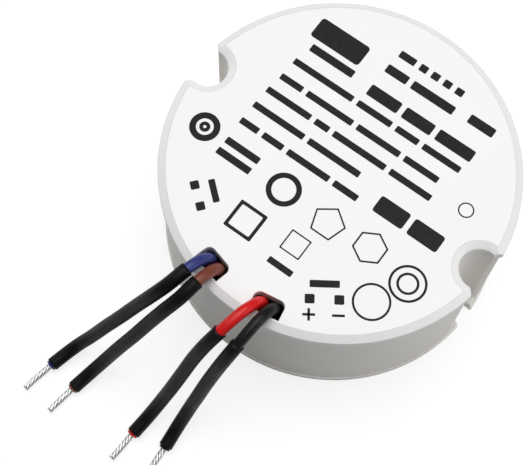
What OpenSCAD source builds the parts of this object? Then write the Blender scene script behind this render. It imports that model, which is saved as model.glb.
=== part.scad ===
// Round plug-free driver for LED lamps: a notched white can with a press-on cover,
// a loaded round board inside and four short sleeved leads.
// Origin at the middle of the underside, Z up, X through the two screw notches.

/* [Body] */
// Diameter over the cover and the foot flange
body_diameter = 65; // [65:0.5:67]
// Height from the underside to the top face
body_height = 29; // [29:0.5:32]
// Thickness of the case wall
wall = 1.6; // [1.2:0.1:1.8]
// Thickness of the case floor
floor_thickness = 2; // [1.6:0.1:2.4]
// How far the case wall stands back under the cover
cover_overhang = 0.4; // [0.2:0.1:0.6]
// Height of the foot flange round the underside
flange_height = 1.2; // [0.8:0.1:1.8]

/* [Cover] */
// Thickness of the cover plate
cover_thickness = 2.5; // [2.2:0.1:2.8]
// Width of the sloped band round the top face
band_width = 1.4; // [1:0.1:1.8]
// Drop of the sloped band
band_drop = 0.8; // [0.5:0.1:1.2]
// Depth of the lip that plugs into the case
lip_depth = 3; // [2.5:0.25:4]
// Thickness of that lip
lip_thickness = 1.2; // [1:0.1:1.4]
// Air between the lip and the case wall
lip_fit = 0.15; // [0.1:0.05:0.25]
// Height of the snap bead on the lip
bead_height = 0.3; // [0.2:0.05:0.4]

/* [Screw notches] */
// Distance of each screw centre in from the body's edge
screw_inset = 2; // [1.7:0.1:2.3]
// Radius of each notch
notch_radius = 3.7; // [3.4:0.1:4]
// Width of the open screw slot in each ear
screw_slot_width = 4.2; // [3.8:0.1:4.6]
// Thickness of the ear at the foot of each notch
ear_thickness = 2.5; // [2:0.1:3.2]
// Size of the flat that eases each mouth corner
mouth_easing = 1; // [0.6:0.1:1.2]

/* [Wire slots] */
// Sideways distance between the two wire slots
wire_slot_spacing = 12; // [11.8:0.1:12.2]
// Turn of each slot away from straight out
wire_slot_turn = 12; // [11:0.5:13]
// Width of each wire slot
wire_slot_width = 5.8; // [5.6:0.1:6.2]
// Depth of each wire slot towards the middle
wire_slot_depth = 3.4; // [3.35:0.05:3.6]
// Rounding of the two inner slot corners
wire_slot_rounding = 1.2; // [0.8:0.1:1.4]

/* [Board] */
// Thickness of the board
board_thickness = 1.6; // [1.4:0.1:1.8]
// Height of the posts that carry the board above the floor
post_height = 3; // [2.6:0.1:3.2]
// Diameter of the posts above and below the board
post_diameter = 3; // [2.6:0.1:3.2]

/* [Leads] */
// Diameter of the coloured insulation
lead_diameter = 2.1; // [1.8:0.1:2.1]
// Diameter of the black sleeve
sleeve_diameter = 2.6; // [2.3:0.1:2.8]
// Diameter of the tinned end
tip_diameter = 1.2; // [0.9:0.1:1.5]

/* [Hidden] */
$fn = 96;
// Overshoot of a cutting tool
over = 0.5;
body_radius = body_diameter / 2;
case_radius = body_radius - cover_overhang;
cavity_radius = case_radius - wall;
case_height = body_height - cover_thickness;
notch_x = body_radius - screw_inset;
pocket_radius = notch_radius + wall;
band_low = body_height - band_drop;
board_low = floor_thickness + post_height;
board_top = board_low + board_thickness;
board_radius = cavity_radius - 0.9;
lip_radius = cavity_radius - lip_fit;
bead_level = case_height - lip_depth + 1;
// Wire slot middle, measured in from the body's edge
wire_slot_inset = 4.2;
wire_slot_y = wire_slot_inset - body_radius;
// Where the three posts stand, measured in from the board's edge
post_inset = 2;
post_reach = board_radius - post_inset;
post_angles = [-25, 92.5, -155];
// Points where the outer and the notch circles would meet, and the eased flat between them
ease_x = (pow(body_radius - mouth_easing, 2) - pow(notch_radius + mouth_easing, 2)
    + notch_x * notch_x) / (2 * notch_x);
ease_y = sqrt(pow(body_radius - mouth_easing, 2) - ease_x * ease_x);
corner_x = (body_radius * body_radius - notch_radius * notch_radius + notch_x * notch_x) / (2 * notch_x);
corner_y = sqrt(body_radius * body_radius - corner_x * corner_x);
flat_outer = [ease_x, ease_y] * body_radius / (body_radius - mouth_easing);
flat_inner = [notch_x, 0] + [ease_x - notch_x, ease_y] * notch_radius / (notch_radius + mouth_easing);
corner_out = [corner_x, corner_y] + 1.5 * unit([corner_x - ease_x, corner_y - ease_y]);

// Board radius and headroom that the parts are drawn for, and how the parts follow them
drawn_radius = 29.6;
drawn_headroom = 19.9;
spread = board_radius / drawn_radius;
fit = min(spread, (case_height - board_top) / drawn_headroom);

// Parts on the board: place, then size
fuse_at = [-13.5, -19.5];
fuse_size = [8.4, 8];
varistor_at = [-19.6, -11];
varistor_size = [9.5, 4];
x_capacitor_at = [-20.6, 0.6];
x_capacitor_size = [6, 13, 11.5];
choke_at = [-17, 15];
choke_base_size = [12.4, 1.2];
choke_ring = [3.1, 5.4, 5];
choke_wrap = 0.7;
choke_turns = 7;
bridge_at = [-7, 22.4];
bridge_size = [8.4, 6.4, 3.2];
film_at = [4.2, 22.8];
film_size = [10.8, 5.4, 10];
transformer_at = [0, 1];
core_size = [20, 6, 15];
core_bar = 3;
core_leg = 3;
core_foot = 2.5;
centre_leg = 6;
bobbin_tube = 8.2;
bobbin_flange = [13.2, 18, 1.1];
bobbin_rail = 4;
winding_diameter = 12.6;
transistor_at = [16.2, 18.4];
transistor_turn = 48.6;
diode_at = [21.7, 7.7];
diode_turn = 19.5;
package_size = [10, 3, 9];
package_lift = 3;
tab_size = [10, 1.3, 15];
tab_hole = 3.6;
leg_size = 0.8;
leg_pitch = 2.54;
capacitor_a_at = [17.5, -7.6];
capacitor_b_at = [14.4, -18.2];
capacitor_size = [10, 16];
supply_at = [-9.5, -12.6];
supply_size = [5, 11];
y_capacitor_at = [0, -16.6];
y_capacitor_size = [8, 3.6];
disc_lift = 1.6;
inductor_at = [7.6, -12.6];
inductor_size = [6, 9];
inductor_waist = [4.4, 1.4];
chip_at = [-2, 13.6];
chip_size = [4.9, 3.9, 1.5];
chip_leg = [0.45, 1.1, 0.8];
small_part = [2, 1.25, 0.7];
small_places = [[4.4, 13], [7.4, 13], [4.4, 15.4], [7.4, 15.4], [4.4, 17.8], [-7, 13], [-7, 15.4]];
resistor_places = [[12.6, 6.5], [15.8, 6]];
resistor_size = [2.4, 6.4];
resistor_lift = 1.7;
wire_leg = 0.7;
solder_size = [1.8, 0.9];
solder_pitch = 5;

// Leads: each route runs from the wire slot to the bare end
blue_route = [[-7.1, -27.6, 26.5], [-7.2, -28.3, 29], [-7.7, -30.1, 30.8], [-8.2, -32.5, 31.5],
    [-9.2, -36.4, 30.4], [-10.7, -39, 27.5], [-12.9, -41.4, 22.2], [-15, -43.8, 17],
    [-17.2, -46.1, 11.7], [-19.3, -48.4, 6.4], [-21.3, -51.5, 2.7], [-22.8, -57, 1.4],
    [-23.1, -59, 1.4], [-23.4, -61, 1.4], [-23.6, -63.2, 1.4]];
brown_route = [[-4.8, -28.1, 26.5], [-4.8, -28.8, 29], [-5.1, -30.6, 30.8], [-5.4, -33.1, 31.5],
    [-6.1, -37, 30.4], [-7.4, -39.8, 27.5], [-9.2, -42.4, 22.2], [-10.9, -45.1, 17],
    [-12.7, -47.6, 11.7], [-14.4, -50.2, 6.4], [-15.8, -53.6, 2.7], [-16.7, -57.8, 1.4],
    [-16.9, -59.7, 1.4], [-17.1, -61.6, 1.4], [-17.3, -63.5, 1.4]];
red_route = [[4.8, -28.1, 26.5], [4.6, -28.8, 29], [4.3, -30.6, 30.8], [3.8, -33, 31.5],
    [2.9, -37.2, 30.3], [1.9, -40, 27], [0.9, -42.3, 22], [0.2, -44.6, 17],
    [-0.5, -46.9, 12], [-1.3, -49.2, 7], [-2, -52.9, 2.9], [-2.4, -57.3, 1.4],
    [-2.4, -59.2, 1.4], [-2.4, -61.1, 1.4], [-2.5, -63, 1.4]];
black_route = [[7.1, -27.6, 26.5], [7.1, -28.3, 29], [7, -30.1, 30.8], [6.9, -32.6, 31.5],
    [6.6, -37.1, 30.1], [6, -40, 26.5], [5.3, -41.8, 21.8], [4.7, -43.7, 17.1],
    [4.2, -45.5, 12.4], [3.7, -47.4, 7.7], [3.5, -51.1, 3.1], [3.9, -55.5, 1.4],
    [4.1, -57.4, 1.4], [4.3, -59.3, 1.4], [4.6, -61.2, 1.4]];
// Body size and cover thickness that the routes are drawn for
route_body = [65, 29, 2.5];
route_floor = 1.4;
// Route point at which each sleeve and each bare end begins
input_sleeve_from = 3;
output_sleeve_from = 4;
bare_from = 11;
// How far in from the slot each lead is soldered to the board
pad_inset = 2.6;
tube_sides = 8;

function unit(v) = v / norm(v);
// A route point moved with the body's size
function moved(p) = [p.x, p.y - (body_diameter - route_body[0]) / 2,
    route_floor + (p.z - route_floor) * (body_height - cover_thickness - route_floor)
    / (route_body[1] - route_body[2] - route_floor)];
function route_of(points) = [for (p = points) moved(p)];
// The stretch inside the case: up from the board to the slot
function inner_route(p) = [[p.x * 0.95, p.y + pad_inset, board_top],
    [p.x * 0.98, p.y + pad_inset / 2, (board_top + p.z) / 2], p];
// Direction of a route at one of its points, upright where it starts
function heading(route, i, last) = i == 0 ? [0, 0, 1]
    : i < len(route) - 1 ? unit(route[i + 1] - route[i - 1])
    : last == undef ? unit(route[i] - route[i - 1]) : last;
function side_of(t) = unit([1, 0, 0] - t * t.x);
function ring(p, t, r) = [for (k = [0:tube_sides - 1])
    p + r * (cos(360 * k / tube_sides) * side_of(t) + sin(360 * k / tube_sides) * cross(t, side_of(t)))];
// Skin of a tube of some rings, as triangles
function skin(rings) = concat(
    [[for (k = [0:tube_sides - 1]) k]],
    [for (i = [0:rings - 2], k = [0:tube_sides - 1]) [i * tube_sides + k,
        (i + 1) * tube_sides + k, (i + 1) * tube_sides + (k + 1) % tube_sides]],
    [for (i = [0:rings - 2], k = [0:tube_sides - 1]) [i * tube_sides + k,
        (i + 1) * tube_sides + (k + 1) % tube_sides, i * tube_sides + (k + 1) % tube_sides]],
    [[for (k = [tube_sides - 1:-1:0]) (rings - 1) * tube_sides + k]]);

// One stretch of a lead, from one route point to another
module tube(route, from, to, diameter, last) {
    points = [for (i = [from:to]) each ring(route[i], heading(route, i, last), diameter / 2)];
    polyhedron(points = points, faces = skin(to - from + 1));
}

// Both notches at once
module at_notches() {
    translate([notch_x, 0, 0])
        children();
    mirror([1, 0, 0])
        translate([notch_x, 0, 0])
            children();
}

// Wedges that ease the four mouth corners over a span of heights
module mouth_corners(low, high) {
    for (x = [0, 1], y = [0, 1])
        mirror([x, 0, 0])
            mirror([0, y, 0])
                translate([0, 0, low])
                    linear_extrude(height = high - low)
                        polygon([flat_outer, flat_inner, corner_out]);
}

module at_posts() {
    for (angle = post_angles)
        rotate([0, 0, angle])
            translate([post_reach, 0, 0])
                children();
}

module case() {
    color([0.93, 0.93, 0.92])
        difference() {
            union() {
                difference() {
                    union() {
                        cylinder(r = case_radius, h = case_height);
                        cylinder(r = body_radius, h = flange_height);
                    }
                    case_cavity();
                }
                translate([0, 0, floor_thickness - over])
                    at_posts()
                        cylinder(d = post_diameter, h = post_height + over);
            }
            translate([0, 0, ear_thickness])
                at_notches()
                    cylinder(r = notch_radius, h = case_height);
            translate([0, 0, -over])
                at_notches() {
                    cylinder(d = screw_slot_width, h = case_height);
                    translate([0, -screw_slot_width / 2, 0])
                        cube([notch_radius + over, screw_slot_width, ear_thickness + 2 * over]);
                }
            mouth_corners(ear_thickness, case_height + over);
        }
}

// Room inside the case, with the notch walls left standing and a groove for the snap bead
module case_cavity() {
    difference() {
        union() {
            translate([0, 0, floor_thickness])
                cylinder(r = cavity_radius, h = case_height);
            rotate_extrude()
                polygon([[cavity_radius - over, bead_level - 0.8], [cavity_radius, bead_level - 0.8],
                    [cavity_radius + bead_height, bead_level - 0.3],
                    [cavity_radius + bead_height, bead_level + 0.3],
                    [cavity_radius, bead_level + 0.8], [cavity_radius - over, bead_level + 0.8]]);
        }
        at_notches()
            cylinder(r = pocket_radius, h = body_height);
    }
}

// The notched, banded cover: the sloped band runs round the rim and through both notches
module cover() {
    color([0.95, 0.95, 0.94])
        difference() {
            union() {
                rotate_extrude()
                    polygon([[0, case_height], [body_radius, case_height], [body_radius, band_low],
                        [body_radius - band_width, body_height], [0, body_height]]);
                cover_lip();
                at_posts()
                    translate([0, 0, board_top])
                        cylinder(d = post_diameter, h = case_height - board_top + over);
            }
            at_notches() {
                translate([0, 0, case_height - over])
                    cylinder(r = notch_radius, h = cover_thickness + 2 * over);
                translate([0, 0, band_low])
                    cylinder(r1 = notch_radius, r2 = notch_radius + 2 * band_width, h = 2 * band_drop);
            }
            mouth_corners(case_height - over, body_height + over);
            wire_slot(1);
            wire_slot(-1);
        }
}

// Lip under the cover, cut away round the notches and behind the wire slots, with a snap bead
module cover_lip() {
    difference() {
        rotate_extrude()
            polygon([[lip_radius - lip_thickness, case_height - lip_depth],
                [lip_radius - 0.3, case_height - lip_depth],
                [lip_radius, case_height - lip_depth + 0.3], [lip_radius, bead_level - 0.5],
                [lip_radius + bead_height, bead_level - 0.1],
                [lip_radius + bead_height, bead_level + 0.1], [lip_radius, bead_level + 0.5],
                [lip_radius, case_height + over], [lip_radius - lip_thickness, case_height + over]]);
        at_notches()
            translate([0, 0, case_height - lip_depth - over])
                cylinder(r = pocket_radius + 0.3, h = lip_depth + over);
        for (side = [-1, 1])
            translate([side * wire_slot_spacing / 2, wire_slot_y, case_height - lip_depth - over])
                rotate([0, 0, side * wire_slot_turn])
                    translate([-wire_slot_width / 2, -wire_slot_depth, 0])
                        cube([wire_slot_width, wire_slot_depth, lip_depth + over]);
    }
}

// Opening for one pair of leads, square towards the rim and rounded towards the middle
module wire_slot(side) {
    half = wire_slot_width / 2;
    inner = wire_slot_depth / 2;
    low = case_height - lip_depth - over;
    tall = lip_depth + cover_thickness + 2 * over;
    translate([side * wire_slot_spacing / 2, wire_slot_y, low])
        rotate([0, 0, side * wire_slot_turn]) {
            translate([-half, -inner, 0])
                cube([wire_slot_width, wire_slot_depth - wire_slot_rounding, tall]);
            translate([wire_slot_rounding - half, -inner, 0])
                cube([wire_slot_width - 2 * wire_slot_rounding, wire_slot_depth, tall]);
            for (x = [wire_slot_rounding - half, half - wire_slot_rounding])
                translate([x, inner - wire_slot_rounding, 0])
                    cylinder(r = wire_slot_rounding, h = tall);
        }
}

module circuit_board() {
    color([0.16, 0.42, 0.25])
        translate([0, 0, board_low])
            difference() {
                cylinder(r = board_radius, h = board_thickness);
                translate([0, 0, -over])
                    at_notches()
                        cylinder(r = pocket_radius + 0.7, h = board_thickness + 2 * over);
            }
}

// A part of the board, standing in its place
module seat(at) {
    translate([at.x * spread, at.y * spread, board_top])
        scale(fit)
            children();
}

// Two soldered legs under each of the main parts
module solder_joints() {
    color([0.75, 0.76, 0.78])
        for (p = [fuse_at, varistor_at, x_capacitor_at, bridge_at, film_at, capacitor_a_at,
                capacitor_b_at, y_capacitor_at, transistor_at, choke_at], x = [-0.5, 0.5])
            translate([p.x * spread + x * solder_pitch * fit, p.y * spread, board_low - solder_size[1]])
                cylinder(d1 = wire_leg, d2 = solder_size[0], h = solder_size[1]);
}

module fuse() {
    color([0.12, 0.12, 0.13])
        seat(fuse_at)
            cylinder(d = fuse_size[0], h = fuse_size[1]);
}

// A lacquered disc standing on two wire legs
module disc_part(size) {
    translate([0, size[1] / 2, disc_lift + size[0] / 2])
        rotate([90, 0, 0])
            cylinder(d = size[0], h = size[1]);
    for (x = [-0.5, 0.5])
        translate([x * solder_pitch, 0, 0])
            cylinder(d = wire_leg, h = disc_lift + size[0] / 2);
}

module varistor() {
    color([0.15, 0.3, 0.6])
        seat(varistor_at)
            rotate([0, 0, atan2(varistor_at.x, -varistor_at.y)])
                disc_part(varistor_size);
}

module x_capacitor() {
    color([0.9, 0.75, 0.15])
        seat(x_capacitor_at)
            translate([-x_capacitor_size.x / 2, -x_capacitor_size.y / 2, 0])
                cube(x_capacitor_size);
}

module choke_base() {
    color([0.12, 0.12, 0.13])
        seat(choke_at)
            cylinder(d = choke_base_size[0], h = choke_base_size[1]);
}

module choke_core() {
    color([0.25, 0.25, 0.26])
        seat(choke_at)
            translate([0, 0, choke_base_size[1] + choke_wrap])
                difference() {
                    cylinder(r = choke_ring[1], h = choke_ring[2]);
                    translate([0, 0, -over])
                        cylinder(r = choke_ring[0], h = choke_ring[2] + 2 * over);
                }
}

// Two windings of closed turns round the ring
module choke_windings() {
    color([0.72, 0.42, 0.18])
        seat(choke_at)
            translate([0, 0, choke_base_size[1]])
                for (half = [0, 180], turn = [0:choke_turns - 1])
                    rotate([0, 0, half + 30 + 18 * turn])
                        rotate_extrude(angle = 12)
                            difference() {
                                translate([choke_ring[0] - choke_wrap, 0])
                                    square([choke_ring[1] - choke_ring[0] + 2 * choke_wrap,
                                        choke_ring[2] + 2 * choke_wrap]);
                                translate([choke_ring[0], choke_wrap])
                                    square([choke_ring[1] - choke_ring[0], choke_ring[2]]);
                            }
}

module bridge_rectifier() {
    color([0.12, 0.12, 0.13])
        seat(bridge_at) {
            translate([-bridge_size.x / 2, -bridge_size.y / 2, 0.8])
                cube(bridge_size);
            for (x = [-0.5, 0.5], y = [-0.5, 0.5])
                translate([x * solder_pitch - 0.4, y * bridge_size.y * 0.8 - 0.4, 0])
                    cube([leg_size, leg_size, 1.2]);
        }
}

module film_capacitor() {
    color([0.55, 0.2, 0.12])
        seat(film_at)
            translate([-film_size.x / 2, -film_size.y / 2, 0])
                cube(film_size);
}

// Height of the bobbin's lower flange above the board
function bobbin_low() = core_foot + core_bar + 0.2;
function bobbin_high() = core_foot + core_size.z - core_bar - 0.2;

module transformer_bobbin() {
    color([0.14, 0.14, 0.15])
        seat(transformer_at)
            difference() {
                union() {
                    for (z = [bobbin_low(), bobbin_high() - bobbin_flange.z])
                        translate([-bobbin_flange.x / 2, -bobbin_flange.y / 2, z])
                            cube(bobbin_flange);
                    translate([0, 0, bobbin_low()])
                        cylinder(d = bobbin_tube, h = bobbin_high() - bobbin_low());
                    for (y = [-bobbin_flange.y / 2, bobbin_flange.y / 2 - bobbin_rail])
                        translate([-bobbin_flange.x / 2, y, 0])
                            cube([bobbin_flange.x, bobbin_rail, bobbin_low() + over]);
                }
                cylinder(d = centre_leg + 0.2, h = body_height);
            }
}

// The two E halves of the core meet in the middle of the winding
module lower_core() {
    color([0.25, 0.25, 0.26])
        seat(transformer_at)
            core_half();
}

module upper_core() {
    color([0.25, 0.25, 0.26])
        seat(transformer_at)
            translate([0, 0, 2 * core_foot + core_size.z])
                mirror([0, 0, 1])
                    core_half();
}

module core_half() {
    half = core_size.z / 2;
    translate([-core_size.x / 2, -core_size.y / 2, core_foot])
        cube([core_size.x, core_size.y, core_bar]);
    for (x = [-core_size.x / 2, core_size.x / 2 - core_leg])
        translate([x, -core_size.y / 2, core_foot])
            cube([core_leg, core_size.y, half]);
    translate([0, 0, core_foot])
        cylinder(d = centre_leg, h = half);
}

module transformer_winding() {
    low = bobbin_low() + bobbin_flange.z;
    high = bobbin_high() - bobbin_flange.z;
    color([0.93, 0.8, 0.2])
        seat(transformer_at)
            translate([0, 0, low])
                difference() {
                    cylinder(d = winding_diameter, h = high - low);
                    translate([0, 0, -over])
                        cylinder(d = bobbin_tube, h = high - low + 2 * over);
                }
}

// A power package on three legs, its back towards the rim
module package_body() {
    translate([-package_size.y, -package_size.x / 2, package_lift])
        cube([package_size.y, package_size.x, package_size.z]);
    for (y = [-leg_pitch, 0, leg_pitch])
        translate([-package_size.y / 2 - leg_size / 2, y - leg_size / 2, 0])
            cube([leg_size, leg_size, package_lift + over]);
}

module package_tab() {
    translate([0, -tab_size.x / 2, package_lift])
        difference() {
            cube([tab_size.y, tab_size.x, tab_size.z]);
            translate([-over, tab_size.x / 2, tab_size.z - tab_hole])
                rotate([0, 90, 0])
                    cylinder(d = tab_hole, h = tab_size.y + 2 * over);
        }
}

module switch_transistor() {
    color([0.12, 0.12, 0.13])
        seat(transistor_at)
            rotate([0, 0, transistor_turn])
                package_body();
}

module transistor_tab() {
    color([0.75, 0.76, 0.78])
        seat(transistor_at)
            rotate([0, 0, transistor_turn])
                package_tab();
}

module output_diode() {
    color([0.12, 0.12, 0.13])
        seat(diode_at)
            rotate([0, 0, diode_turn])
                package_body();
}

module diode_tab() {
    color([0.75, 0.76, 0.78])
        seat(diode_at)
            rotate([0, 0, diode_turn])
                package_tab();
}

// An aluminium can in its film, with the crimp above its foot
module capacitor_can(size) {
    rotate_extrude()
        polygon([[0, 0], [size[0] / 2, 0], [size[0] / 2, 1.2], [size[0] / 2 - 0.3, 1.8],
            [size[0] / 2, 2.4], [size[0] / 2, size[1] - 0.4], [size[0] / 2 - 0.4, size[1]], [0, size[1]]]);
}

module output_capacitor_a() {
    color([0.18, 0.2, 0.3])
        seat(capacitor_a_at)
            capacitor_can(capacitor_size);
}

module output_capacitor_b() {
    color([0.18, 0.2, 0.3])
        seat(capacitor_b_at)
            capacitor_can(capacitor_size);
}

module supply_capacitor() {
    color([0.18, 0.2, 0.3])
        seat(supply_at)
            capacitor_can(supply_size);
}

module y_capacitor() {
    color([0.15, 0.3, 0.6])
        seat(y_capacitor_at)
            disc_part(y_capacitor_size);
}

// A drum core with its wound waist
module output_inductor() {
    color([0.25, 0.25, 0.26])
        seat(inductor_at)
            rotate_extrude()
                polygon([[0, 0], [inductor_size[0] / 2, 0], [inductor_size[0] / 2, inductor_waist[1]],
                    [inductor_waist[0] / 2, inductor_waist[1]],
                    [inductor_waist[0] / 2, inductor_size[1] - inductor_waist[1]],
                    [inductor_size[0] / 2, inductor_size[1] - inductor_waist[1]],
                    [inductor_size[0] / 2, inductor_size[1]], [0, inductor_size[1]]]);
}

module controller_chip() {
    color([0.12, 0.12, 0.13])
        seat(chip_at) {
            translate([-chip_size.x / 2, -chip_size.y / 2, 0.2])
                cube(chip_size);
            for (x = [-1.905, -0.635, 0.635, 1.905], y = [-1, 1])
                translate([x - chip_leg.x / 2, y * (chip_size.y / 2 + 0.3) - chip_leg.y / 2, 0])
                    cube(chip_leg);
        }
}

module small_parts() {
    color([0.3, 0.27, 0.22])
        for (p = small_places)
            seat(p)
                translate([-small_part.x / 2, -small_part.y / 2, 0])
                    cube(small_part);
}

// Axial resistors lying over the board on bent legs
module snubber_resistors() {
    color([0.55, 0.65, 0.75])
        for (p = resistor_places)
            seat(p) {
                translate([0, resistor_size[1] / 2, resistor_lift])
                    rotate([90, 0, 0])
                        cylinder(d = resistor_size[0], h = resistor_size[1]);
                for (y = [-0.5, 0.5])
                    translate([-wire_leg / 2, y * (resistor_size[1] + wire_leg) - wire_leg / 2, 0])
                        cube([wire_leg, wire_leg + 0.2, resistor_lift]);
            }
}

module blue_lead_inner() {
    color([0.1, 0.35, 0.7])
        tube(inner_route(moved(blue_route[0])), 0, 2, lead_diameter, [0, 0, 1]);
}

module brown_lead_inner() {
    color([0.4, 0.2, 0.12])
        tube(inner_route(moved(brown_route[0])), 0, 2, lead_diameter, [0, 0, 1]);
}

module red_lead_inner() {
    color([0.8, 0.1, 0.1])
        tube(inner_route(moved(red_route[0])), 0, 2, lead_diameter, [0, 0, 1]);
}

module black_lead_inner() {
    color([0.08, 0.08, 0.08])
        tube(inner_route(moved(black_route[0])), 0, 2, lead_diameter, [0, 0, 1]);
}

module blue_lead() {
    color([0.1, 0.35, 0.7])
        tube(route_of(blue_route), 0, input_sleeve_from, lead_diameter);
}

module brown_lead() {
    color([0.4, 0.2, 0.12])
        tube(route_of(brown_route), 0, input_sleeve_from, lead_diameter);
}

module red_lead() {
    color([0.8, 0.1, 0.1])
        tube(route_of(red_route), 0, output_sleeve_from, lead_diameter);
}

module black_lead() {
    color([0.08, 0.08, 0.08])
        tube(route_of(black_route), 0, output_sleeve_from, lead_diameter);
}

module blue_sleeve() {
    color([0.1, 0.1, 0.1])
        tube(route_of(blue_route), input_sleeve_from, bare_from, sleeve_diameter);
}

module brown_sleeve() {
    color([0.1, 0.1, 0.1])
        tube(route_of(brown_route), input_sleeve_from, bare_from, sleeve_diameter);
}

module red_sleeve() {
    color([0.1, 0.1, 0.1])
        tube(route_of(red_route), output_sleeve_from, bare_from, sleeve_diameter);
}

module black_sleeve() {
    color([0.1, 0.1, 0.1])
        tube(route_of(black_route), output_sleeve_from, bare_from, sleeve_diameter);
}

module blue_tip() {
    color([0.75, 0.76, 0.78])
        tube(route_of(blue_route), bare_from, len(blue_route) - 1, tip_diameter);
}

module brown_tip() {
    color([0.75, 0.76, 0.78])
        tube(route_of(brown_route), bare_from, len(brown_route) - 1, tip_diameter);
}

module red_tip() {
    color([0.75, 0.76, 0.78])
        tube(route_of(red_route), bare_from, len(red_route) - 1, tip_diameter);
}

module black_tip() {
    color([0.75, 0.76, 0.78])
        tube(route_of(black_route), bare_from, len(black_route) - 1, tip_diameter);
}

case();
cover();
circuit_board();
solder_joints();
fuse();
varistor();
x_capacitor();
choke_base();
choke_core();
choke_windings();
bridge_rectifier();
film_capacitor();
transformer_bobbin();
lower_core();
upper_core();
transformer_winding();
switch_transistor();
transistor_tab();
output_diode();
diode_tab();
output_capacitor_a();
output_capacitor_b();
supply_capacitor();
y_capacitor();
output_inductor();
controller_chip();
small_parts();
snubber_resistors();
blue_lead_inner();
brown_lead_inner();
red_lead_inner();
black_lead_inner();
blue_lead();
brown_lead();
red_lead();
black_lead();
blue_sleeve();
brown_sleeve();
red_sleeve();
black_sleeve();
blue_tip();
brown_tip();
red_tip();
black_tip();
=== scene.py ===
"""Looks of a round LED driver: shell, printed cover, sleeved leads and studio."""

import logging
import math
from collections.abc import Callable
from dataclasses import dataclass, field
from enum import Enum

import bmesh
import bpy
from mathutils import Matrix, Vector


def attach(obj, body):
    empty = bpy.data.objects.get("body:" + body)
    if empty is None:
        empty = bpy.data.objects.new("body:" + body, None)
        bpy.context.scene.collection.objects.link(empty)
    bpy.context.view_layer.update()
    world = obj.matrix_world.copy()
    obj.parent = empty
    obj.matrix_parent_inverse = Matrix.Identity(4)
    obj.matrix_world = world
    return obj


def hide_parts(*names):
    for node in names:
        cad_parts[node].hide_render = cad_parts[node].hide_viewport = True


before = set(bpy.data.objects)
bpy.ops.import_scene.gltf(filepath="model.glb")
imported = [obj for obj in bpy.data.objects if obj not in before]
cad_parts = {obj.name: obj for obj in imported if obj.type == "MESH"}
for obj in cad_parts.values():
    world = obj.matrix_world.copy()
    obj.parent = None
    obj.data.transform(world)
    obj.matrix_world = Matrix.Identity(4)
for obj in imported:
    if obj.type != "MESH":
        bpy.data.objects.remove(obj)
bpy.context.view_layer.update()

log = logging.getLogger("driver")
MM = 0.001
BODY = "root"
WELD = 0.001 * MM
ROUND_STEPS = 3
Point = tuple[float, float, float]
Colour = tuple[float, float, float]


class MarkShape(Enum):
    """Plain shapes that the cover's printing is made of."""

    BAR = "bar"
    RING = "ring"
    OUTLINE = "outline"


class Socket(Enum):
    """Kinds of socket on a shader node group."""

    VALUE = "NodeSocketFloat"
    VECTOR = "NodeSocketVector"


def new_object(name: str, data: bpy.types.ID) -> bpy.types.Object:
    """Puts mesh or curve data into the scene as one object at the origin.

    Args:
        name: name of the object.
        data: its mesh, curve or light.

    Returns:
        The new object.
    """
    made = bpy.data.objects.new(name, data)
    bpy.context.scene.collection.objects.link(made)
    return made


def mesh_object(name: str, bm: bmesh.types.BMesh, smooth: bool = True) -> bpy.types.Object:
    """Turns a bmesh into an object and frees the bmesh.

    Args:
        name: name of the object.
        bm: the finished shape, in metres.
        smooth: whether its faces are shaded smooth.

    Returns:
        The new object.
    """
    for face in bm.faces:
        face.smooth = smooth
    mesh = bpy.data.meshes.new(name)
    bm.to_mesh(mesh)
    bm.free()
    return new_object(name, mesh)


def rounded(bm: bmesh.types.BMesh, edges: list[bmesh.types.BMEdge], width: float) -> None:
    """Rounds some edges of a shape.

    Args:
        bm: the shape.
        edges: its edges to round.
        width: width of the rounding.
    """
    bmesh.ops.bevel(bm, geom=edges, offset=width, offset_type="OFFSET", segments=ROUND_STEPS,
                    profile=0.5, affect="EDGES", clamp_overlap=True, material=-1)


def tube(name: str, runs: list[list[Vector]], diameter: float, ease: float,
         sides: int) -> bpy.types.Object:
    """Sweeps a closed round tube along each of some runs of points.

    Args:
        name: name of the piece.
        runs: for each tube, the points on its middle line.
        diameter: outer diameter of the tubes.
        ease: rounding of the end rims, or nothing for a plain cut.
        sides: fineness of the round section, as a curve's bevel resolution.

    Returns:
        One mesh object with all the tubes.
    """
    data = bpy.data.curves.new(name, "CURVE")
    data.dimensions = "3D"
    data.bevel_depth = diameter / 2
    data.bevel_resolution = sides
    data.use_fill_caps = True
    for run in runs:
        spline = data.splines.new("POLY")
        spline.points.add(len(run) - 1)
        for point, spot in zip(spline.points, run):
            point.co = (*spot, 1.0)
    spare = bpy.data.objects.new(name, data)
    swept = bpy.data.meshes.new_from_object(spare)
    bm = bmesh.new()
    bm.from_mesh(swept)
    bpy.data.objects.remove(spare)
    bpy.data.curves.remove(data)
    bpy.data.meshes.remove(swept)
    bmesh.ops.remove_doubles(bm, verts=bm.verts, dist=WELD)
    bmesh.ops.recalc_face_normals(bm, faces=bm.faces)
    if ease:
        rounded(bm, [e for f in bm.faces if len(f.verts) > 4 for e in f.edges], ease)
    return mesh_object(name, bm)


def dress(piece: bpy.types.Object, material: bpy.types.Material) -> None:
    """Gives a piece one material."""
    piece.data.materials.clear()
    piece.data.materials.append(material)


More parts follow.
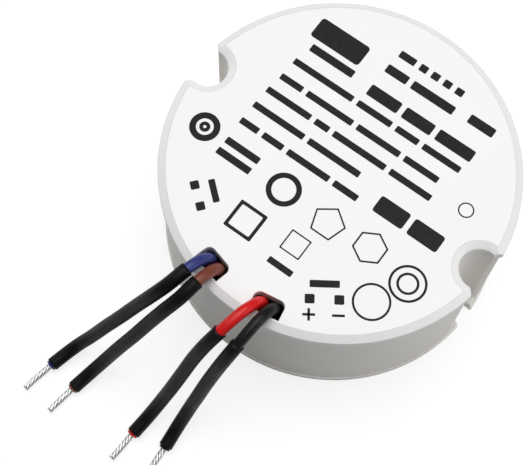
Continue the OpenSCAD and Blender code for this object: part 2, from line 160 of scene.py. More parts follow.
class NodeGroup:
    """Base of the shared shader groups: named sockets round a small tree."""

    name: str = "group"
    takes: tuple[tuple[str, Socket, float | None], ...] = ()
    gives: tuple[str, ...] = ()

    def __init__(self) -> None:
        """Makes the tree with its sockets and lets the subclass wire it."""
        self.tree = bpy.data.node_groups.new(self.name, "ShaderNodeTree")
        for label, kind, start in self.takes:
            made = self.tree.interface.new_socket(label, in_out="INPUT", socket_type=kind.value)
            if start is not None:
                made.default_value = start
        for label in self.gives:
            self.tree.interface.new_socket(label, in_out="OUTPUT", socket_type=Socket.VALUE.value)
        self.entry = self.tree.nodes.new("NodeGroupInput")
        self.leave = self.tree.nodes.new("NodeGroupOutput")
        self.wire()

    def wire(self) -> None:
        """Fills the tree between its sockets."""

    def place(self, tree: bpy.types.NodeTree, coordinate: str, **values: float) -> bpy.types.Node:
        """Adds the group to a material.

        Args:
            tree: the material's node tree.
            coordinate: output of Texture Coordinate that the group reads.
            **values: the group's inputs, with underscores for spaces.

        Returns:
            The group's node.
        """
        node = tree.nodes.new("ShaderNodeGroup")
        node.node_tree = self.tree
        for label, value in values.items():
            node.inputs[label.replace("_", " ")].default_value = value
        where = tree.nodes.new("ShaderNodeTexCoord")
        tree.links.new(where.outputs[coordinate], node.inputs["Vector"])
        return node


class GrainGroup(NodeGroup):
    """Moulded or sprayed grain: fine bumps and broad, faint mottling."""

    name = "moulded_grain"
    takes = (("Vector", Socket.VECTOR, None), ("Grain Scale", Socket.VALUE, 4000.0),
             ("Mottle Scale", Socket.VALUE, 90.0))
    gives = ("Height", "Mottle")

    def wire(self) -> None:
        """Wires two noises to the outputs."""
        link = self.tree.links.new
        for scale, output, detail in (("Grain Scale", "Height", 3.0), ("Mottle Scale", "Mottle", 4.0)):
            noise = self.tree.nodes.new("ShaderNodeTexNoise")
            noise.inputs["Detail"].default_value = detail
            link(self.entry.outputs["Vector"], noise.inputs["Vector"])
            link(self.entry.outputs[scale], noise.inputs["Scale"])
            link(noise.outputs["Fac"], self.leave.inputs[output])


class RimGroup(NodeGroup):
    """Distance from the inner edge of the cover's sloped band, in metres: below zero on the top."""

    name = "rim_distance"
    takes = (("Vector", Socket.VECTOR, None), ("Band Radius", Socket.VALUE, 31.1 * MM),
             ("Notch Place", Socket.VALUE, 30.5 * MM), ("Notch Radius", Socket.VALUE, 5.1 * MM))
    gives = ("Distance",)

    def _math(self, kind: str, *inputs: bpy.types.NodeSocket) -> bpy.types.NodeSocket:
        """Adds one Math node and links its inputs.

        Args:
            kind: the node's operation.
            *inputs: sockets that feed it, in order.

        Returns:
            The node's output.
        """
        node = self.tree.nodes.new("ShaderNodeMath")
        node.operation = kind
        for i, source in enumerate(inputs):
            self.tree.links.new(source, node.inputs[i])
        return node.outputs["Value"]

    def _radius(self, x: bpy.types.NodeSocket, y: bpy.types.NodeSocket) -> bpy.types.NodeSocket:
        """Adds nodes for the length of a flat vector."""
        return self._math("SQRT", self._math("ADD", self._math("MULTIPLY", x, x),
                                             self._math("MULTIPLY", y, y)))

    def wire(self) -> None:
        """Joins the distances from the round band and from both notch bands."""
        parts = self.tree.nodes.new("ShaderNodeSeparateXYZ")
        self.tree.links.new(self.entry.outputs["Vector"], parts.inputs["Vector"])
        x, y = parts.outputs["X"], parts.outputs["Y"]
        given = self.entry.outputs
        rim = self._math("SUBTRACT", self._radius(x, y), given["Band Radius"])
        across = self._math("SUBTRACT", self._math("ABSOLUTE", x), given["Notch Place"])
        notch = self._math("SUBTRACT", given["Notch Radius"], self._radius(across, y))
        self.tree.links.new(self._math("MAXIMUM", rim, notch), self.leave.inputs["Distance"])


GRAIN = GrainGroup()
RIM = RimGroup()


@dataclass(frozen=True)
class Finish:
    """A procedural finish: colour that drifts a little, grained roughness and bump."""

    name: str
    colour: Colour
    roughness: float = 0.45
    drift: float = 0.06
    rough_drift: float = 0.12
    grain: float = 4000.0
    mottle: float = 90.0
    bump: float = 0.06
    metallic: float = 0.0
    specular: float = 0.5
    coat: float = 0.0
    bump_depth: float = 0.1 * MM
    mottle_stops: tuple[float, float] = (0.3, 0.7)

    def material(self) -> bpy.types.Material:
        """Makes the material on first use.

        Returns:
            The finish's material.
        """
        label = f"{self.name}_finish"
        known = bpy.data.materials.get(label)
        if known:
            return known
        made = bpy.data.materials.new(label)
        made.use_nodes = True
        tree = made.node_tree
        shader = tree.nodes["Principled BSDF"]
        shader.inputs["Metallic"].default_value = self.metallic
        shader.inputs["Specular IOR Level"].default_value = self.specular
        shader.inputs["Coat Weight"].default_value = self.coat
        group = GRAIN.place(tree, "Object", Grain_Scale=self.grain, Mottle_Scale=self.mottle)
        tint = self.ramp(tree, self.mottle_stops, tuple(c * (1 - self.drift) for c in self.colour),
                         tuple(min(1.0, c * (1 + self.drift)) for c in self.colour))
        tree.links.new(group.outputs["Mottle"], tint.inputs["Fac"])
        rough = tree.nodes.new("ShaderNodeMapRange")
        rough.inputs["To Min"].default_value = self.roughness - self.rough_drift / 2
        rough.inputs["To Max"].default_value = self.roughness + self.rough_drift / 2
        tree.links.new(group.outputs["Height"], rough.inputs["Value"])
        tree.links.new(rough.outputs["Result"], shader.inputs["Roughness"])
        bump = tree.nodes.new("ShaderNodeBump")
        bump.inputs["Strength"].default_value = self.bump
        bump.inputs["Distance"].default_value = self.bump_depth
        tree.links.new(self.height(tree, group.outputs["Height"]), bump.inputs["Height"])
        tree.links.new(bump.outputs["Normal"], shader.inputs["Normal"])
        tree.links.new(self.tone(tree, tint.outputs["Color"]), shader.inputs["Base Color"])
        return made

    @staticmethod
    def ramp(tree: bpy.types.NodeTree, stops: tuple[float, float], low: Colour,
             high: Colour) -> bpy.types.Node:
        """Adds a colour ramp between two tones.

        Args:
            tree: the material's node tree.
            stops: places of the two tones.
            low: tone at the first stop.
            high: tone at the second stop.

        Returns:
            The ramp's node.
        """
        node = tree.nodes.new("ShaderNodeValToRGB")
        for element, place, colour in zip(node.color_ramp.elements, stops, (low, high)):
            element.position = place
            element.color = (*colour, 1.0)
        return node

    def tone(self, tree: bpy.types.NodeTree, colour: bpy.types.NodeSocket) -> bpy.types.NodeSocket:
        """Lets a special finish work on the colour; the plain one keeps it."""
        return colour

    def height(self, tree: bpy.types.NodeTree, grain: bpy.types.NodeSocket) -> bpy.types.NodeSocket:
        """Lets a special finish add to the bump; the plain one keeps the grain."""
        return grain


@dataclass(frozen=True)
class CreaseShadeCoverFinish(Finish):
    """Cover plastic, with a fine darker line of painted shade where the sloped band meets the top."""

    # Half width and depth of the painted crease shade.
    crease_shade_half: float = 0.16 * MM
    crease_shade_depth: float = 0.16

    def tone(self, tree: bpy.types.NodeTree, colour: bpy.types.NodeSocket) -> bpy.types.NodeSocket:
        """Paints a darker line of shade into the crease between top and band.

        Args:
            tree: the material's node tree.
            colour: the plain colour.

        Returns:
            The colour with the painted crease shade in it.
        """
        # Painted shade: darkens the colour within a fine band either side of the crease between top
        # and band.
        away = tree.nodes.new("ShaderNodeMath")
        away.operation = "ABSOLUTE"
        tree.links.new(RIM.place(tree, "Object").outputs["Distance"], away.inputs[0])
        crease_shade = tree.nodes.new("ShaderNodeMapRange")
        crease_shade.interpolation_type = "SMOOTHSTEP"
        crease_shade.inputs["From Max"].default_value = self.crease_shade_half
        crease_shade.inputs["To Min"].default_value = 1 - self.crease_shade_depth
        tree.links.new(away.outputs["Value"], crease_shade.inputs["Value"])
        mix = tree.nodes.new("ShaderNodeMix")
        mix.data_type = "RGBA"
        mix.blend_type = "MULTIPLY"
        mix.inputs["Factor"].default_value = 1.0
        tree.links.new(colour, mix.inputs["A"])
        tree.links.new(crease_shade.outputs["Result"], mix.inputs["B"])
        return mix.outputs["Result"]


@dataclass(frozen=True)
class CordFinish(Finish):
    """Extruded insulation or sleeving, with faint rings along the run."""

    rings: float = 260.0
    ring_depth: float = 0.5
    ring_waver: float = 3.0
    ring_detail: float = 2.0

    def height(self, tree: bpy.types.NodeTree, grain: bpy.types.NodeSocket) -> bpy.types.NodeSocket:
        """Adds uneven rings, as a bent sleeve shows them, to the grain.

        Args:
            tree: the material's node tree.
            grain: height of the grain.

        Returns:
            Height of the grain and rings together.
        """
        where = tree.nodes.new("ShaderNodeTexCoord")
        wave = tree.nodes.new("ShaderNodeTexWave")
        wave.bands_direction = "Z"
        wave.inputs["Scale"].default_value = self.rings
        wave.inputs["Distortion"].default_value = self.ring_waver
        wave.inputs["Detail"].default_value = self.ring_detail
        tree.links.new(where.outputs["Object"], wave.inputs["Vector"])
        mix = tree.nodes.new("ShaderNodeMath")
        mix.operation = "MULTIPLY_ADD"
        mix.inputs[1].default_value = self.ring_depth
        tree.links.new(wave.outputs["Fac"], mix.inputs[0])
        tree.links.new(grain, mix.inputs[2])
        return mix.outputs["Value"]


WHITE_SHELL = Finish(
    "white_shell", (0.87, 0.845, 0.805), roughness=0.46, drift=0.016, rough_drift=0.16,
    grain=3600, mottle=70, bump=0.14)
# Cover plastic whose finish paints shade into the crease between top and band.
WHITE_COVER = CreaseShadeCoverFinish(
    "white_cover", (0.885, 0.885, 0.88), roughness=0.42, drift=0.012, rough_drift=0.14,
    grain=4200, mottle=60, bump=0.08)
INK = Finish(
    "printing_ink", (0.008, 0.008, 0.009), roughness=0.6, drift=0.35, rough_drift=0.2,
    grain=7000, mottle=900, bump=0.05, specular=0.2)
BLUE = CordFinish(
    "blue_insulation", (0.03, 0.042, 0.19), roughness=0.4, drift=0.14, rough_drift=0.1,
    grain=3000, mottle=300, bump=0.05, specular=0.35)
BROWN = CordFinish(
    "brown_insulation", (0.19, 0.046, 0.026), roughness=0.4, drift=0.14, rough_drift=0.1,
    grain=3000, mottle=300, bump=0.05, specular=0.35)
RED = CordFinish(
    "red_insulation", (0.66, 0.008, 0.008), roughness=0.38, drift=0.1, rough_drift=0.1,
    grain=3000, mottle=300, bump=0.05, specular=0.35)
BLACK = CordFinish(
    "black_insulation", (0.006, 0.006, 0.006), roughness=0.42, drift=0.2, rough_drift=0.1,
    grain=3000, mottle=300, bump=0.05, specular=0.25)
SLEEVE = CordFinish(
    "black_sleeving", (0.004, 0.004, 0.004), roughness=0.5, drift=0.3, rough_drift=0.16,
    grain=2600, mottle=260, bump=0.1, specular=0.16)
TINNED = Finish(
    "tinned_metal", (0.72, 0.72, 0.72), roughness=0.3, drift=0.1, rough_drift=0.2,
    grain=2500, mottle=500, bump=0.15, metallic=1.0)
LAMINATE = Finish(
    "board_laminate", (0.02, 0.14, 0.05), roughness=0.35, drift=0.1, rough_drift=0.1,
    grain=2000, mottle=300, bump=0.05)
BLACK_PLASTIC = Finish(
    "black_plastic", (0.012, 0.012, 0.013), roughness=0.5, drift=0.2, rough_drift=0.15,
    grain=4000, mottle=300, bump=0.1)
BLUE_LACQUER = Finish(
    "blue_lacquer", (0.02, 0.07, 0.32), roughness=0.25, drift=0.1, rough_drift=0.1,
    grain=900, mottle=200, bump=0.1, coat=0.4)
YELLOW = Finish(
    "yellow_plastic", (0.78, 0.52, 0.03), roughness=0.35, drift=0.06, rough_drift=0.1,
    grain=2000, mottle=200, bump=0.05)
RED_LACQUER = Finish(
    "red_lacquer", (0.27, 0.035, 0.015), roughness=0.25, drift=0.1, rough_drift=0.1,
    grain=900, mottle=200, bump=0.1, coat=0.4)
FERRITE = Finish(
    "ferrite", (0.05, 0.05, 0.053), roughness=0.6, drift=0.2, rough_drift=0.2,
    grain=6000, mottle=800, bump=0.2)
COPPER = Finish(
    "enamelled_copper", (0.5, 0.16, 0.05), roughness=0.3, drift=0.1, rough_drift=0.1,
    grain=2500, mottle=300, bump=0.1, metallic=0.9)
CAN_FILM = Finish(
    "capacitor_film", (0.025, 0.03, 0.07), roughness=0.3, drift=0.1, rough_drift=0.1,
    grain=2000, mottle=200, bump=0.04)
RESISTOR = Finish(
    "resistor_lacquer", (0.22, 0.27, 0.34), roughness=0.4, drift=0.1, rough_drift=0.1,
    grain=2000, mottle=300, bump=0.08)


@dataclass
class Shell:
    """Case and cover, with their outer edges softened as a mould leaves them."""

    case_edge: float = 0.22 * MM
    cover_edge: float = 0.28 * MM
    cover_low: float = 26.4 * MM
    wall_inside: float = 30.9 * MM
    notch_x: float = 30.5 * MM
    notch_reach: float = 3.9 * MM
    weld: float = 0.002 * MM
    sharp: float = math.radians(18)
    flat: float = math.radians(0.6)

    def _outside_of_case(self, point: Vector) -> bool:
        """Tells whether a point of the case lies on its outer skin or in a notch.

        Args:
            point: a point of the case's mesh.

        Returns:
            True where edges are rounded.
        """
        if math.hypot(point.x, point.y) > self.wall_inside or point.z < self.case_edge:
            return True
        return math.hypot(abs(point.x) - self.notch_x, point.y) < self.notch_reach

    def _on_plate(self, point: Vector) -> bool:
        """Tells whether a point of the cover lies on its plate."""
        return point.z > self.cover_low

    def _softened(self, node: str, name: str, edge: float,
                  outside: Callable[[Vector], bool]) -> bpy.types.Object:
        """Copies a CAD node, merges it and rounds the sharp edges that show.

        Args:
            node: the CAD node.
            name: name of the new piece.
            edge: width of the rounding.
            outside: test for points whose edges are rounded.

        Returns:
            The new piece, which stands for the node.
        """
        bm = bmesh.new()
        bm.from_mesh(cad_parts[node].data)
        bmesh.ops.remove_doubles(bm, verts=bm.verts, dist=self.weld)
        bmesh.ops.dissolve_limit(bm, angle_limit=self.flat, verts=bm.verts, edges=bm.edges)
        edges = [e for e in bm.edges if len(e.link_faces) == 2 and e.is_convex
                 and e.calc_face_angle(0.0) > self.sharp
                 and all(outside(v.co) for v in e.verts)]
        rounded(bm, edges, edge)
        piece = mesh_object(name, bm)
        piece.modifiers.new("even_shading", "WEIGHTED_NORMAL").keep_sharp = True
        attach(piece, BODY)
        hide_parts(node)
        return piece

    def build(self) -> list[bpy.types.Object]:
        """Builds and dresses both halves.

        Returns:
            The case and the cover.
        """
        case = self._softened("case", "moulded_case", self.case_edge, self._outside_of_case)
        dress(case, WHITE_SHELL.material())
        cover = self._softened("cover", "moulded_cover", self.cover_edge, self._on_plate)
        dress(cover, WHITE_COVER.material())
        return [case, cover]


@dataclass(frozen=True)
class Mark:
    """One printed shape on the cover, in millimetres and degrees."""

    shape: MarkShape
    at: tuple[float, float]
    size: tuple[float, float]
    turn: float = 2.6
    line: float = 0.5
    corners: int = 40


@dataclass
class Printing:
    """Plain printing on the cover: rows of word-long bars, rings, outlines and pole signs."""

    top: float = 29.0 * MM
    sunk: float = 0.02 * MM
    proud: float = 0.02 * MM
    slope: float = 2.6
    word_gap: float = 1.0
    bar_rounding: float = 0.14
    outline_rounding: float = 0.25
    rows: tuple[tuple[tuple[float, float], float, tuple[float, ...]], ...] = (
        ((-4.9, 24.0), 1.5, (3.4, 1.6, 1.6, 1.6, 1.6)),
        ((-5.1, 20.2), 1.8, (4.6, 9.0)),
        ((12.4, 21.6), 1.9, (5.3,)),
        ((-5.0, 14.8), 2.4, (6.6, 6.2, 7.6)),
        ((-19.0, 10.7), 1.3, (13.0, 7.4, 4.8, 7.9)),
        ((-19.0, 6.8), 1.3, (4.8, 10.0, 9.2, 7.2)),
        ((-19.3, 3.2), 1.3, (9.6, 3.0, 11.2, 8.7)),
        ((-19.3, -0.6), 1.3, (11.0, 11.1)),
        ((-19.2, -4.5), 1.3, (3.9, 4.4, 9.0, 5.1)),
        ((9.3, -1.7), 3.4, (6.2, 6.2)),
    )
    marks: tuple[Mark, ...] = (
        Mark(MarkShape.BAR, (-14.8, 19.0), (10.6, 4.4)),
        Mark(MarkShape.BAR, (-13.6, 15.0), (9.4, 1.6)),
        Mark(MarkShape.RING, (-23.3, -9.6), (5.6, 5.6), line=1.2),
        Mark(MarkShape.RING, (-23.3, -9.6), (2.0, 2.0), line=0.7),
        Mark(MarkShape.BAR, (-15.2, -8.9), (7.2, 1.4)),
        Mark(MarkShape.BAR, (-15.2, -11.4), (7.2, 1.4)),
        Mark(MarkShape.RING, (-4.9, -10.1), (6.4, 6.4), line=1.0),
        Mark(MarkShape.OUTLINE, (4.9, -10.1), (6.6, 6.6), 92.6, 0.36, 5),
        Mark(MarkShape.OUTLINE, (13.4, -9.1), (6.4, 6.4), 32.6, 0.36, 6),
        Mark(MarkShape.RING, (22.4, -10.2), (6.8, 6.8), line=0.45),
        Mark(MarkShape.RING, (22.4, -10.2), (4.0, 4.0), line=0.45),
        Mark(MarkShape.RING, (19.5, -16.7), (6.8, 6.8), line=0.4),
        Mark(MarkShape.RING, (22.3, 7.0), (2.9, 2.9), line=0.25),
        Mark(MarkShape.OUTLINE, (-6.5, -18.8), (8.0, 8.0), 47.6, 0.9, 4),
        Mark(MarkShape.OUTLINE, (3.0, -16.8), (5.8, 5.8), 47.6, 0.36, 4),
        Mark(MarkShape.BAR, (3.4, -21.6), (5.0, 1.2)),
        Mark(MarkShape.BAR, (-17.6, -19.3), (1.6, 1.6), 52.0),
        Mark(MarkShape.BAR, (-14.3, -21.7), (1.6, 1.6), 52.0),
        Mark(MarkShape.BAR, (-14.3, -18.0), (4.4, 1.2), -38.0),
        Mark(MarkShape.BAR, (10.9, -22.9), (1.7, 1.7), 37.0),
        Mark(MarkShape.BAR, (15.0, -19.9), (1.7, 1.7), 37.0),
        Mark(MarkShape.BAR, (11.3, -19.2), (5.2, 1.3), 37.0),
        Mark(MarkShape.BAR, (12.5, -25.2), (2.2, 0.45), 37.0),
        Mark(MarkShape.BAR, (12.5, -25.2), (0.45, 2.2), 37.0),
        Mark(MarkShape.BAR, (16.6, -22.2), (2.2, 0.45), 37.0),
    )

    def _row_marks(self) -> list[Mark]:
        """Lays each row out as bars, one for each word.

        Returns:
            The bars of all rows.
        """
        laid = []
        along = Vector((math.cos(math.radians(self.slope)), math.sin(math.radians(self.slope))))
        for start, height, words in self.rows:
            reach = 0.0
            for word in words:
                middle = Vector(start) + along * (reach + word / 2)
                laid.append(Mark(MarkShape.BAR, tuple(middle), (word, height), self.slope))
                reach += word + self.word_gap
        return laid

    def _add(self, bm: bmesh.types.BMesh, mark: Mark) -> None:
        """Adds one mark's thin solid to the printing.

        Args:
            bm: the printing so far.
            mark: the shape to add.
        """
        height = self.sunk + self.proud
        place = (Matrix.Translation((mark.at[0] * MM, mark.at[1] * MM, self.top))
                 @ Matrix.Rotation(math.radians(mark.turn), 4, "Z"))
        part = bmesh.new()
        if mark.shape is MarkShape.BAR:
            bmesh.ops.create_cube(part, size=1.0)
            wide, deep = (side * MM for side in mark.size)
            bmesh.ops.scale(part, vec=(wide, deep, height), verts=part.verts)
            round_off = self.bar_rounding * min(mark.size) * MM
        else:
            outer = mark.size[0] / 2 * MM
            inner = outer - mark.line * MM
            corners = [part.verts.new((r, 0.0, z)) for r, z in (
                (inner, -height / 2), (outer, -height / 2), (outer, height / 2), (inner, height / 2))]
            sides = [part.edges.new(pair) for pair in zip(corners, corners[1:] + corners[:1])]
            bmesh.ops.spin(part, geom=[*corners, *sides], cent=(0, 0, 0), axis=(0, 0, 1),
                           dvec=(0, 0, 0), angle=math.tau, steps=mark.corners, use_merge=True,
                           use_duplicate=False)
            bmesh.ops.remove_doubles(part, verts=part.verts, dist=WELD)
            bmesh.ops.recalc_face_normals(part, faces=part.faces)
            round_off = self.outline_rounding * mark.line * MM
        if mark.shape is not MarkShape.RING:
            upright = [e for e in part.edges if abs(e.verts[0].co.z - e.verts[1].co.z) > height / 2]
            rounded(part, upright, round_off)
        bmesh.ops.transform(part, matrix=place, verts=part.verts)
        spare = bpy.data.meshes.new("spare")
        part.to_mesh(spare)
        part.free()
        bm.from_mesh(spare)
        bpy.data.meshes.remove(spare)

    def build(self) -> list[bpy.types.Object]:
        """Builds and dresses all the printing as one piece.

        Returns:
            The printing.
        """
        bm = bmesh.new()
        for mark in (*self._row_marks(), *self.marks):
            self._add(bm, mark)
        piece = mesh_object("cover_printing", bm, smooth=False)
        dress(piece, INK.material())
        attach(piece, BODY)
        return [piece]


@dataclass
class Lead:
    """One lead: coloured insulation out of its slot, a black sleeve and a tinned end."""

    colour: str
    finish: Finish
    route: tuple[Point, ...]
    sleeve_from: int
    bare_from: int = 11
    diameter: float = 2.1 * MM
    sleeve_diameter: float = 2.6 * MM
    tip_diameter: float = 1.2 * MM
    strands: int = 7
    twist: float = 1.1
    samples: int = 6
    cord_samples: int = 3
    peek: float = 0.45 * MM
    cut_rounding: float = 0.15 * MM
    sleeve_rounding: float = 0.12 * MM
    sides: int = 6
    strand_sides: int = 2
    line: list[Vector] = field(init=False)

    def __post_init__(self) -> None:
        """Keeps the route in metres."""
        self.line = [Vector(p) * MM for p in self.route]

    def _handles(self, i: int) -> tuple[Vector, Vector]:
        """Gives the two handles that carry the line smoothly through a route point.

        Args:
            i: number of the route point.

        Returns:
            The handle before it and the handle after it.
        """
        before = self.line[max(i - 1, 0)]
        after = self.line[min(i + 1, len(self.line) - 1)]
        here = self.line[i]
        step = Vector((0, 0, 1)) if i == 0 else (after - before).normalized()
        return here - step * (here - before).length / 3, here + step * (after - here).length / 3

    def _path(self, first: int, last: int, steps: int) -> list[Vector]:
        """Samples the smooth line between two route points.

        Args:
            first: route point where the stretch starts.
            last: route point where it ends.
            steps: samples in each span.

        Returns:
            The samples, both ends included.
        """
        spots = []
        for i in range(first, last):
            a, b = self.line[i], self.line[i + 1]
            p, q = self._handles(i)[1], self._handles(i + 1)[0]
            for t in (k / steps for k in range(steps)):
                u = 1 - t
                spots.append(a * u ** 3 + p * 3 * t * u * u + q * 3 * t * t * u + b * t ** 3)
        return [*spots, self.line[last]]

    def _strands(self) -> bpy.types.Object:
        """Makes the bare end as a twist of tinned strands.

        Returns:
            The strands, as one piece.
        """
        thin = self.tip_diameter / 3
        middle = self._path(self.bare_from, len(self.line) - 1, self.samples)
        along = (middle[-1] - middle[0]).normalized()
        side = along.cross(Vector((0, 0, 1))).normalized()
        rise = side.cross(along)
        runs = [middle]
        for k in range(self.strands - 1):
            run = []
            for n, spot in enumerate(middle):
                angle = math.tau * (k / (self.strands - 1) + self.twist * n / len(middle))
                run.append(spot + (side * math.cos(angle) + rise * math.sin(angle))
                           * (self.tip_diameter - thin) / 2)
            runs.append(run)
        made = tube(f"{self.colour}_strands", runs, thin, 0.0, self.strand_sides)
        dress(made, TINNED.material())
        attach(made, BODY)
        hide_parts(f"{self.colour}_tip")
        return made

    def build(self) -> list[bpy.types.Object]:
        """Returns:
            The insulation, the sleeve and the bare end.
        """
        core = tube(f"{self.colour}_insulation", [self._path(0, self.bare_from, self.samples)],
                    self.diameter, self.cut_rounding, self.sides)
        dress(core, self.finish.material())
        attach(core, BODY)
        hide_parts(f"{self.colour}_lead")
        covered = self._path(self.sleeve_from, self.bare_from, self.samples)
        covered[-1] = covered[-1] + (covered[-2] - covered[-1]).normalized() * self.peek
        sleeve = tube(f"{self.colour}_sleeving", [covered], self.sleeve_diameter,
                      self.sleeve_rounding, self.sides)
        dress(sleeve, SLEEVE.material())
        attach(sleeve, BODY)
        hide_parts(f"{self.colour}_sleeve")
        tip = self._strands()
        return [core, sleeve, tip]


LEADS = (
    Lead("blue", BLUE, (
        (-7.1, -27.6, 26.5), (-7.2, -28.3, 29), (-7.7, -30.1, 30.8), (-8.2, -32.5, 31.5),
        (-9.2, -36.4, 30.4), (-10.7, -39, 27.5), (-12.9, -41.4, 22.2), (-15, -43.8, 17),
        (-17.2, -46.1, 11.7), (-19.3, -48.4, 6.4), (-21.3, -51.5, 2.7), (-22.8, -57, 1.4),
        (-23.1, -59, 1.4), (-23.4, -61, 1.4), (-23.6, -63.2, 1.4)), 3),
    Lead("brown", BROWN, (
        (-4.8, -28.1, 26.5), (-4.8, -28.8, 29), (-5.1, -30.6, 30.8), (-5.4, -33.1, 31.5),
        (-6.1, -37, 30.4), (-7.4, -39.8, 27.5), (-9.2, -42.4, 22.2), (-10.9, -45.1, 17),
        (-12.7, -47.6, 11.7), (-14.4, -50.2, 6.4), (-15.8, -53.6, 2.7), (-16.7, -57.8, 1.4),
        (-16.9, -59.7, 1.4), (-17.1, -61.6, 1.4), (-17.3, -63.5, 1.4)), 3),
    Lead("red", RED, (
        (4.8, -28.1, 26.5), (4.6, -28.8, 29), (4.3, -30.6, 30.8), (3.8, -33, 31.5),
        (2.9, -37.2, 30.3), (1.9, -40, 27), (0.9, -42.3, 22), (0.2, -44.6, 17),
        (-0.5, -46.9, 12), (-1.3, -49.2, 7), (-2, -52.9, 2.9), (-2.4, -57.3, 1.4),
        (-2.4, -59.2, 1.4), (-2.4, -61.1, 1.4), (-2.5, -63, 1.4)), 4),
    Lead("black", BLACK, (
        (7.1, -27.6, 26.5), (7.1, -28.3, 29), (7, -30.1, 30.8), (6.9, -32.6, 31.5),
        (6.6, -37.1, 30.1), (6, -40, 26.5), (5.3, -41.8, 21.8), (4.7, -43.7, 17.1),
        (4.2, -45.5, 12.4), (3.7, -47.4, 7.7), (3.5, -51.1, 3.1), (3.9, -55.5, 1.4),
        (4.1, -57.4, 1.4), (4.3, -59.3, 1.4), (4.6, -61.2, 1.4)), 4),
)


@dataclass
class Inside:
    """The board and its parts, which keep their CAD shapes."""

    finishes: dict[str, Finish] = field(default_factory=lambda: {
        "circuit_board": LAMINATE, "solder_joints": TINNED, "fuse": BLACK_PLASTIC,
        "varistor": BLUE_LACQUER, "x_capacitor": YELLOW, "choke_base": BLACK_PLASTIC,
        "choke_core": FERRITE, "choke_windings": COPPER, "bridge_rectifier": BLACK_PLASTIC,
        "film_capacitor": RED_LACQUER, "transformer_bobbin": BLACK_PLASTIC,
        "lower_core": FERRITE, "upper_core": FERRITE, "transformer_winding": YELLOW,
        "switch_transistor": BLACK_PLASTIC, "transistor_tab": TINNED,
        "output_diode": BLACK_PLASTIC, "diode_tab": TINNED, "output_capacitor_a": CAN_FILM,
        "output_capacitor_b": CAN_FILM, "supply_capacitor": CAN_FILM,
        "y_capacitor": BLUE_LACQUER, "output_inductor": FERRITE,
        "controller_chip": BLACK_PLASTIC, "small_parts": RESISTOR,
        "snubber_resistors": RESISTOR, "blue_lead_inner": BLUE, "brown_lead_inner": BROWN,
        "red_lead_inner": RED, "black_lead_inner": BLACK,
    })

    def build(self) -> list[bpy.types.Object]:
        """Dresses each inner node.

        Returns:
            The inner nodes.
        """
        for node, finish in self.finishes.items():
            dress(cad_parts[node], finish.material())
        return [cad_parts[node] for node in self.finishes]


@dataclass(frozen=True)
class Lamp:
    """One soft round lamp that points at the driver."""

    name: str
    at: Point
    size: float
    power: float
    aim: Point = (0.0, -0.01, 0.015)

    def hang(self) -> bpy.types.Object:
        """Hangs the lamp and turns it to the driver.

        Returns:
            The lamp's object.
        """
        data = bpy.data.lights.new(self.name, "AREA")
        data.shape = "DISK"
        data.size = self.size
        data.energy = self.power
        made = new_object(self.name, data)
        made.location = self.at
        way = Vector(self.aim) - Vector(self.at)
        made.rotation_euler = way.to_track_quat("-Z", "Y").to_euler()
        return made


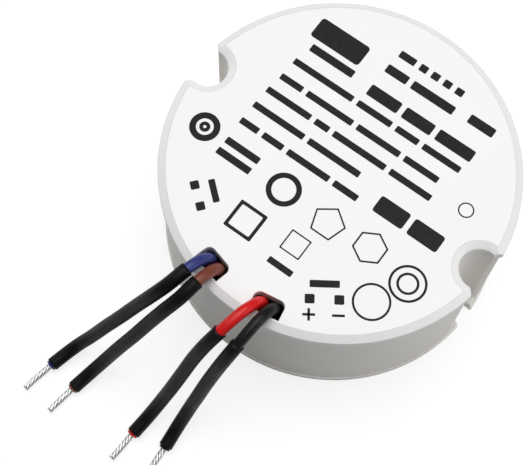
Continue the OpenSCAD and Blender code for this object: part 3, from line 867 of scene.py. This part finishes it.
@dataclass
class Studio:
    """Floor, soft light and the camera at the photograph's angle."""

    eye: Point = (41.6 * MM, -79.0 * MM, 249.6 * MM)
    right: Point = (0.77978, 0.62590, 0.01453)
    up: Point = (-0.59641, 0.73559, 0.32128)
    lens: float = 91.8
    sensor: float = 36.0
    floor_reach: float = 1.5
    floor_drop: float = 0.02 * MM
    floor_colour: float = 0.34
    floor_glow: float = 0.74
    sky: float = 0.12
    lamps: tuple[Lamp, ...] = (
        Lamp("softbox", (-0.05, 0.12, 0.75), 0.8, 5.4),
        Lamp("side_fill", (0.62, 0.16, 0.22), 0.35, 0.9),
        Lamp("back_fill", (-0.6, -0.02, 0.2), 0.35, 0.5),
    )

    def _camera(self) -> None:
        """Places the camera."""
        data = bpy.data.cameras.new("camera")
        data.lens = self.lens
        data.sensor_width = self.sensor
        data.sensor_fit = "HORIZONTAL"
        made = new_object("camera", data)
        right, up = Vector(self.right).normalized(), Vector(self.up).normalized()
        turned = Matrix((right, up, right.cross(up))).transposed()
        made.matrix_world = Matrix.Translation(self.eye) @ turned.to_4x4()
        bpy.context.scene.camera = made

    def _floor(self) -> None:
        """Lays a pale floor that reads white, keeps the shadow and is clear from below."""
        bm = bmesh.new()
        bmesh.ops.create_grid(bm, x_segments=1, y_segments=1, size=self.floor_reach)
        bmesh.ops.translate(bm, vec=(0, 0, -self.floor_drop), verts=bm.verts)
        made = mesh_object("floor", bm, smooth=False)
        material = bpy.data.materials.new("pale_floor")
        material.use_nodes = True
        tree = material.node_tree
        plain = tree.nodes["Principled BSDF"]
        plain.inputs["Base Color"].default_value = (*(self.floor_colour,) * 3, 1)
        plain.inputs["Roughness"].default_value = 0.9
        plain.inputs["Specular IOR Level"].default_value = 0.0
        glow = tree.nodes.new("ShaderNodeEmission")
        glow.inputs["Strength"].default_value = self.floor_glow
        both = tree.nodes.new("ShaderNodeAddShader")
        clear = tree.nodes.new("ShaderNodeBsdfTransparent")
        side = tree.nodes.new("ShaderNodeNewGeometry")
        seen = tree.nodes.new("ShaderNodeMixShader")
        below = tree.nodes.new("ShaderNodeMixShader")
        link = tree.links.new
        link(plain.outputs["BSDF"], both.inputs[0])
        link(glow.outputs["Emission"], both.inputs[1])
        link(self._seen(tree), seen.inputs["Fac"])
        link(plain.outputs["BSDF"], seen.inputs[1])
        link(both.outputs["Shader"], seen.inputs[2])
        link(side.outputs["Backfacing"], below.inputs["Fac"])
        link(seen.outputs["Shader"], below.inputs[1])
        link(clear.outputs["BSDF"], below.inputs[2])
        link(below.outputs["Shader"], tree.nodes["Material Output"].inputs["Surface"])
        dress(made, material)

    @staticmethod
    def _seen(tree: bpy.types.NodeTree) -> bpy.types.NodeSocket:
        """Adds a mask for rays that see the stage directly, in a reflection or through glass.

        Args:
            tree: the node tree of the floor or the world.

        Returns:
            The mask's socket.
        """
        path = tree.nodes.new("ShaderNodeLightPath")
        mask = path.outputs["Is Camera Ray"]
        for label in ("Is Glossy Ray", "Is Transmission Ray"):
            node = tree.nodes.new("ShaderNodeMath")
            node.operation = "MAXIMUM"
            tree.links.new(mask, node.inputs[0])
            tree.links.new(path.outputs[label], node.inputs[1])
            mask = node.outputs["Value"]
        return mask

    def _sky(self) -> None:
        """Sets an even dim sky that the camera sees as white."""
        world = bpy.data.worlds.new("studio")
        world.use_nodes = True
        tree = world.node_tree
        dim = tree.nodes["Background"]
        dim.inputs["Color"].default_value = (1, 1, 1, 1)
        dim.inputs["Strength"].default_value = self.sky
        white = tree.nodes.new("ShaderNodeBackground")
        white.inputs["Color"].default_value = (1, 1, 1, 1)
        mix = tree.nodes.new("ShaderNodeMixShader")
        path = tree.nodes.new("ShaderNodeLightPath")
        tree.links.new(path.outputs["Is Camera Ray"], mix.inputs["Fac"])
        tree.links.new(dim.outputs["Background"], mix.inputs[1])
        tree.links.new(white.outputs["Background"], mix.inputs[2])
        tree.links.new(mix.outputs["Shader"], tree.nodes["World Output"].inputs["Surface"])
        bpy.context.scene.world = world

    def build(self) -> list[bpy.types.Object]:
        """Builds the studio.

        Returns:
            The lamps.
        """
        bpy.context.scene.view_settings.view_transform = "Standard"
        self._camera()
        self._floor()
        self._sky()
        return [lamp.hang() for lamp in self.lamps]


def main() -> None:
    """Builds every sub-assembly in order and reports its pieces."""
    logging.basicConfig(level=logging.INFO, format="%(message)s")
    for part in (Studio(), *LEADS, Shell(), Printing(), Inside()):
        for piece in part.build():
            log.info("%s: %s", type(part).__name__, piece.name)


if __name__ == "__main__":
    main()
